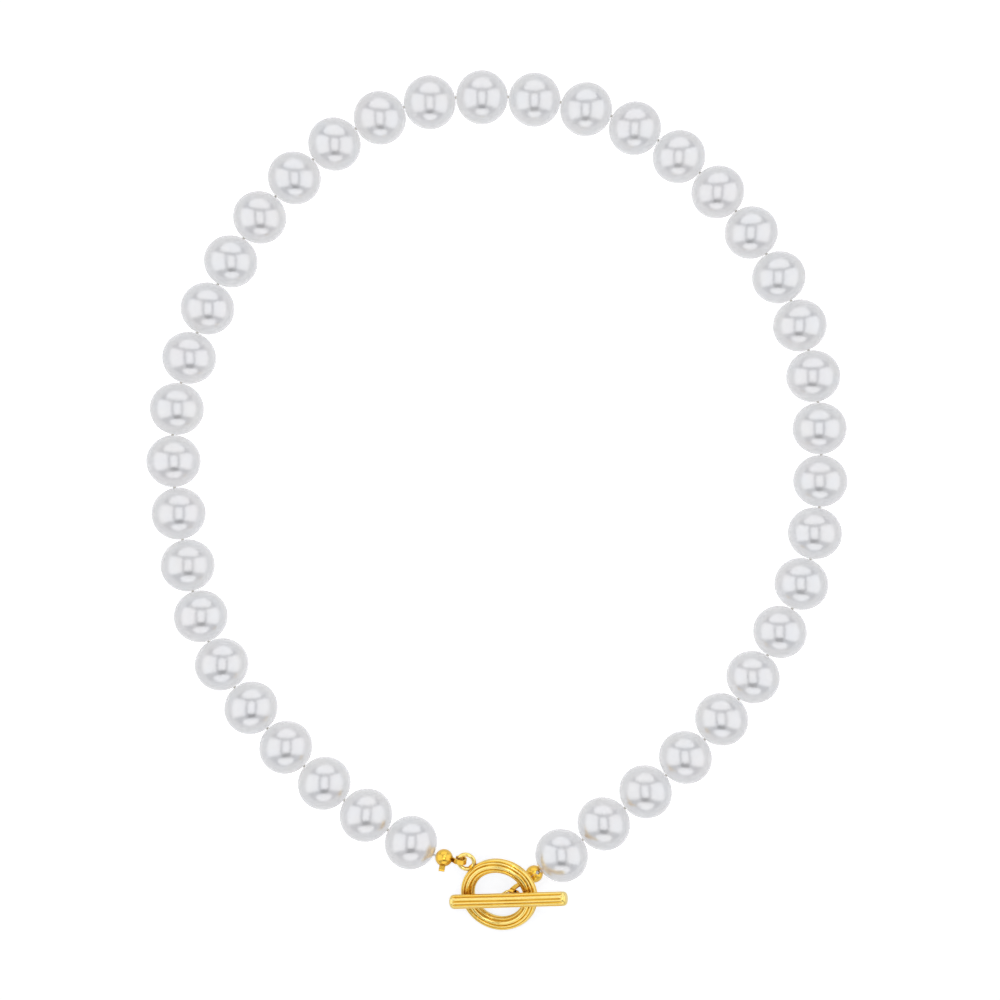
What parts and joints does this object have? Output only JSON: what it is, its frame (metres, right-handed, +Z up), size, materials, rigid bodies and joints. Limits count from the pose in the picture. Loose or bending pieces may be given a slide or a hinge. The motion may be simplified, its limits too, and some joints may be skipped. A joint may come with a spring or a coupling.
{
  "type": "pearl necklace",
  "caption": "Single strand of round white pearls lying in a closed loop, fastened by a reeded gold toggle ring and bar that hook to clamshell bead tips.",
  "frame": {"origin": "middle of the necklace's bounding box, on the surface that it lies on", "axes": "+Z up from the surface, +Y from the clasp at the front to the back of the loop, +X to the side where the bar hangs on its bead tip"},
  "size_m": [0.1313, 0.1612, 0.0116],
  "materials": {
    "pearl": "lustrous",
    "gold": "satin gold plate",
    "thread": "silk"
  },
  "bodies": {
    "pearl_20": {"pearl_20": "pearl", "stringing_thread": "thread"},
    "pearl_01": {"pearl_01": "pearl"},
    "pearl_02": {"pearl_02": "pearl"},
    "pearl_03": {"pearl_03": "pearl"},
    "pearl_04": {"pearl_04": "pearl"},
    "pearl_05": {"pearl_05": "pearl"},
    "pearl_06": {"pearl_06": "pearl"},
    "pearl_07": {"pearl_07": "pearl"},
    "pearl_08": {"pearl_08": "pearl"},
    "pearl_09": {"pearl_09": "pearl"},
    "pearl_10": {"pearl_10": "pearl"},
    "pearl_11": {"pearl_11": "pearl"},
    "pearl_12": {"pearl_12": "pearl"},
    "pearl_13": {"pearl_13": "pearl"},
    "pearl_14": {"pearl_14": "pearl"},
    "pearl_15": {"pearl_15": "pearl"},
    "pearl_16": {"pearl_16": "pearl"},
    "pearl_17": {"pearl_17": "pearl"},
    "pearl_18": {"pearl_18": "pearl"},
    "pearl_19": {"pearl_19": "pearl"},
    "pearl_21": {"pearl_21": "pearl"},
    "pearl_22": {"pearl_22": "pearl"},
    "pearl_23": {"pearl_23": "pearl"},
    "pearl_24": {"pearl_24": "pearl"},
    "pearl_25": {"pearl_25": "pearl"},
    "pearl_26": {"pearl_26": "pearl"},
    "pearl_27": {"pearl_27": "pearl"},
    "pearl_28": {"pearl_28": "pearl"},
    "pearl_29": {"pearl_29": "pearl"},
    "pearl_30": {"pearl_30": "pearl"},
    "pearl_31": {"pearl_31": "pearl"},
    "pearl_32": {"pearl_32": "pearl"},
    "pearl_33": {"pearl_33": "pearl"},
    "pearl_34": {"pearl_34": "pearl"},
    "pearl_35": {"pearl_35": "pearl"},
    "pearl_36": {"pearl_36": "pearl"},
    "pearl_37": {"pearl_37": "pearl"},
    "pearl_38": {"pearl_38": "pearl"},
    "pearl_39": {"pearl_39": "pearl"},
    "pearl_40": {"pearl_40": "pearl"},
    "ring_bead_tip": {"ring_bead_tip_base": "gold", "ring_end_knot": "thread"},
    "ring_tip_lid": {"ring_bead_tip_lid": "gold"},
    "bar_bead_tip": {"bar_bead_tip_base": "gold", "bar_end_knot": "thread"},
    "bar_tip_lid": {"bar_bead_tip_lid": "gold"},
    "toggle_ring": {"toggle_ring": "gold", "toggle_ring_eye": "gold"},
    "toggle_bar": {"toggle_bar": "gold", "toggle_bar_eye": "gold"}
  },
  "joints": [
    {"name": "bar_swivel", "type": "hinge", "parent": "bar_bead_tip", "child": "toggle_bar", "pos_m": [0.00302, -0.07316, 0.00562], "axis": [-0.2276, -0.4106, 0.8829], "range_deg": [-12, 12]},
    {"name": "ring_swivel", "type": "hinge", "parent": "bar_bead_tip", "child": "toggle_ring", "pos_m": [0.0002, -0.0739, 0.00419], "axis": [-0.2276, -0.4106, 0.8829], "range_deg": [-30, 30]},
    {"name": "ring_hook_swivel", "type": "hinge", "parent": "toggle_ring", "child": "ring_bead_tip", "pos_m": [-0.00597, -0.06773, 0.00547], "axis": [-0.2276, -0.4106, 0.8829], "range_deg": [-8, 40]},
    {"name": "ring_tip_lid_fold", "type": "hinge", "parent": "ring_bead_tip", "child": "ring_tip_lid", "pos_m": [-0.01058, -0.06926, 0.00583], "axis": [0.984, -0.1575, 0.0838], "range_deg": [0, 100]},
    {"name": "bar_tip_lid_fold", "type": "hinge", "parent": "bar_bead_tip", "child": "bar_tip_lid", "pos_m": [0.00571, -0.07099, 0.00045], "axis": [-0.6522, -0.5264, 0.5455], "range_deg": [0, 60]},
    {"name": "bar_tip_bend", "type": "hinge", "parent": "pearl_40", "child": "bar_bead_tip", "pos_m": [0.00795, -0.06954, 0.00507], "axis": [0, 0, 1], "range_deg": [0, 15], "deforming": ["stringing_thread"]},
    {"name": "bend_20_21", "type": "hinge", "parent": "pearl_20", "child": "pearl_21", "pos_m": [0.00189, 0.07548, 0.00507], "axis": [0, 0, 1], "range_deg": [0, 15], "deforming": ["stringing_thread"]},
    {"name": "bend_21_22", "type": "hinge", "parent": "pearl_21", "child": "pearl_22", "pos_m": [0.01171, 0.07448, 0.00507], "axis": [0, 0, 1], "range_deg": [0, 15], "deforming": ["stringing_thread"]},
    {"name": "bend_22_23", "type": "hinge", "parent": "pearl_22", "child": "pearl_23", "pos_m": [0.02123, 0.07191, 0.00507], "axis": [0, 0, 1], "range_deg": [0, 15], "deforming": ["stringing_thread"]},
    {"name": "bend_23_24", "type": "hinge", "parent": "pearl_23", "child": "pearl_24", "pos_m": [0.02998, 0.06735, 0.00507], "axis": [0, 0, 1], "range_deg": [0, 15], "deforming": ["stringing_thread"]},
    {"name": "bend_24_25", "type": "hinge", "parent": "pearl_24", "child": "pearl_25", "pos_m": [0.03775, 0.06127, 0.00507], "axis": [0, 0, 1], "range_deg": [0, 15], "deforming": ["stringing_thread"]},
    {"name": "bend_25_26", "type": "hinge", "parent": "pearl_25", "child": "pearl_26", "pos_m": [0.04453, 0.05411, 0.00507], "axis": [0, 0, 1], "range_deg": [0, 15], "deforming": ["stringing_thread"]},
    {"name": "bend_26_27", "type": "hinge", "parent": "pearl_26", "child": "pearl_27", "pos_m": [0.05026, 0.04608, 0.00507], "axis": [0, 0, 1], "range_deg": [0, 15], "deforming": ["stringing_thread"]},
    {"name": "bend_27_28", "type": "hinge", "parent": "pearl_27", "child": "pearl_28", "pos_m": [0.05486, 0.03735, 0.00507], "axis": [0, 0, 1], "range_deg": [0, 15], "deforming": ["stringing_thread"]},
    {"name": "bend_28_29", "type": "hinge", "parent": "pearl_28", "child": "pearl_29", "pos_m": [0.05812, 0.02804, 0.00507], "axis": [0, 0, 1], "range_deg": [0, 15], "deforming": ["stringing_thread"]},
    {"name": "bend_29_30", "type": "hinge", "parent": "pearl_29", "child": "pearl_30", "pos_m": [0.05991, 0.01834, 0.00507], "axis": [0, 0, 1], "range_deg": [0, 15], "deforming": ["stringing_thread"]},
    {"name": "bend_30_31", "type": "hinge", "parent": "pearl_30", "child": "pearl_31", "pos_m": [0.06051, 0.00849, 0.00507], "axis": [0, 0, 1], "range_deg": [0, 15], "deforming": ["stringing_thread"]},
    {"name": "bend_31_32", "type": "hinge", "parent": "pearl_31", "child": "pearl_32", "pos_m": [0.06017, -0.00137, 0.00507], "axis": [0, 0, 1], "range_deg": [0, 15], "deforming": ["stringing_thread"]},
    {"name": "bend_32_33", "type": "hinge", "parent": "pearl_32", "child": "pearl_33", "pos_m": [0.05848, -0.01109, 0.00507], "axis": [0, 0, 1], "range_deg": [0, 15], "deforming": ["stringing_thread"]},
    {"name": "bend_33_34", "type": "hinge", "parent": "pearl_33", "child": "pearl_34", "pos_m": [0.05509, -0.02035, 0.00507], "axis": [0, 0, 1], "range_deg": [0, 15], "deforming": ["stringing_thread"]},
    {"name": "bend_34_35", "type": "hinge", "parent": "pearl_34", "child": "pearl_35", "pos_m": [0.05046, -0.02906, 0.00507], "axis": [0, 0, 1], "range_deg": [0, 15], "deforming": ["stringing_thread"]},
    {"name": "bend_35_36", "type": "hinge", "parent": "pearl_35", "child": "pearl_36", "pos_m": [0.04501, -0.03728, 0.00507], "axis": [0, 0, 1], "range_deg": [0, 15], "deforming": ["stringing_thread"]},
    {"name": "bend_36_37", "type": "hinge", "parent": "pearl_36", "child": "pearl_37", "pos_m": [0.03867, -0.04485, 0.00507], "axis": [0, 0, 1], "range_deg": [0, 15], "deforming": ["stringing_thread"]},
    {"name": "bend_37_38", "type": "hinge", "parent": "pearl_37", "child": "pearl_38", "pos_m": [0.03146, -0.05157, 0.00507], "axis": [0, 0, 1], "range_deg": [0, 15], "deforming": ["stringing_thread"]},
    {"name": "bend_38_39", "type": "hinge", "parent": "pearl_38", "child": "pearl_39", "pos_m": [0.02373, -0.0577, 0.00507], "axis": [0, 0, 1], "range_deg": [0, 15], "deforming": ["stringing_thread"]},
    {"name": "bend_39_40", "type": "hinge", "parent": "pearl_39", "child": "pearl_40", "pos_m": [0.01582, -0.06361, 0.00507], "axis": [0, 0, 1], "range_deg": [0, 15], "deforming": ["stringing_thread"]},
    {"name": "bend_20_19", "type": "hinge", "parent": "pearl_20", "child": "pearl_19", "pos_m": [-0.00797, 0.07538, 0.00507], "axis": [0, 0, -1], "range_deg": [0, 15], "deforming": ["stringing_thread"]},
    {"name": "bend_19_18", "type": "hinge", "parent": "pearl_19", "child": "pearl_18", "pos_m": [-0.01767, 0.0736, 0.00507], "axis": [0, 0, -1], "range_deg": [0, 15], "deforming": ["stringing_thread"]},
    {"name": "bend_18_17", "type": "hinge", "parent": "pearl_18", "child": "pearl_17", "pos_m": [-0.02667, 0.06955, 0.00507], "axis": [0, 0, -1], "range_deg": [0, 15], "deforming": ["stringing_thread"]},
    {"name": "bend_17_16", "type": "hinge", "parent": "pearl_17", "child": "pearl_16", "pos_m": [-0.03467, 0.06378, 0.00507], "axis": [0, 0, -1], "range_deg": [0, 15], "deforming": ["stringing_thread"]},
    {"name": "bend_16_15", "type": "hinge", "parent": "pearl_16", "child": "pearl_15", "pos_m": [-0.0417, 0.05686, 0.00507], "axis": [0, 0, -1], "range_deg": [0, 15], "deforming": ["stringing_thread"]},
    {"name": "bend_15_14", "type": "hinge", "parent": "pearl_15", "child": "pearl_14", "pos_m": [-0.04767, 0.04901, 0.00507], "axis": [0, 0, -1], "range_deg": [0, 15], "deforming": ["stringing_thread"]},
    {"name": "bend_14_13", "type": "hinge", "parent": "pearl_14", "child": "pearl_13", "pos_m": [-0.05251, 0.04041, 0.00507], "axis": [0, 0, -1], "range_deg": [0, 15], "deforming": ["stringing_thread"]},
    {"name": "bend_13_12", "type": "hinge", "parent": "pearl_13", "child": "pearl_12", "pos_m": [-0.05638, 0.03134, 0.00507], "axis": [0, 0, -1], "range_deg": [0, 15], "deforming": ["stringing_thread"]},
    {"name": "bend_12_11", "type": "hinge", "parent": "pearl_12", "child": "pearl_11", "pos_m": [-0.05939, 0.02194, 0.00507], "axis": [0, 0, -1], "range_deg": [0, 15], "deforming": ["stringing_thread"]},
    {"name": "bend_11_10", "type": "hinge", "parent": "pearl_11", "child": "pearl_10", "pos_m": [-0.06099, 0.01221, 0.00507], "axis": [0, 0, -1], "range_deg": [0, 15], "deforming": ["stringing_thread"]},
    {"name": "bend_10_09", "type": "hinge", "parent": "pearl_10", "child": "pearl_09", "pos_m": [-0.06063, 0.00235, 0.00507], "axis": [0, 0, -1], "range_deg": [0, 15], "deforming": ["stringing_thread"]},
    {"name": "bend_09_08", "type": "hinge", "parent": "pearl_09", "child": "pearl_08", "pos_m": [-0.05911, -0.0074, 0.00507], "axis": [0, 0, -1], "range_deg": [0, 15], "deforming": ["stringing_thread"]},
    {"name": "bend_08_07", "type": "hinge", "parent": "pearl_08", "child": "pearl_07", "pos_m": [-0.05721, -0.01708, 0.00507], "axis": [0, 0, -1], "range_deg": [0, 15], "deforming": ["stringing_thread"]},
    {"name": "bend_07_06", "type": "hinge", "parent": "pearl_07", "child": "pearl_06", "pos_m": [-0.05423, -0.02648, 0.00507], "axis": [0, 0, -1], "range_deg": [0, 15], "deforming": ["stringing_thread"]},
    {"name": "bend_06_05", "type": "hinge", "parent": "pearl_06", "child": "pearl_05", "pos_m": [-0.04937, -0.03507, 0.00507], "axis": [0, 0, -1], "range_deg": [0, 15], "deforming": ["stringing_thread"]},
    {"name": "bend_05_04", "type": "hinge", "parent": "pearl_05", "child": "pearl_04", "pos_m": [-0.04321, -0.04277, 0.00507], "axis": [0, 0, -1], "range_deg": [0, 15], "deforming": ["stringing_thread"]},
    {"name": "bend_04_03", "type": "hinge", "parent": "pearl_04", "child": "pearl_03", "pos_m": [-0.03634, -0.04985, 0.00507], "axis": [0, 0, -1], "range_deg": [0, 15], "deforming": ["stringing_thread"]},
    {"name": "bend_03_02", "type": "hinge", "parent": "pearl_03", "child": "pearl_02", "pos_m": [-0.02883, -0.05625, 0.00507], "axis": [0, 0, -1], "range_deg": [0, 15], "deforming": ["stringing_thread"]},
    {"name": "bend_02_01", "type": "hinge", "parent": "pearl_02", "child": "pearl_01", "pos_m": [-0.02068, -0.06181, 0.00507], "axis": [0, 0, -1], "range_deg": [0, 15], "deforming": ["stringing_thread"]}
  ]
}
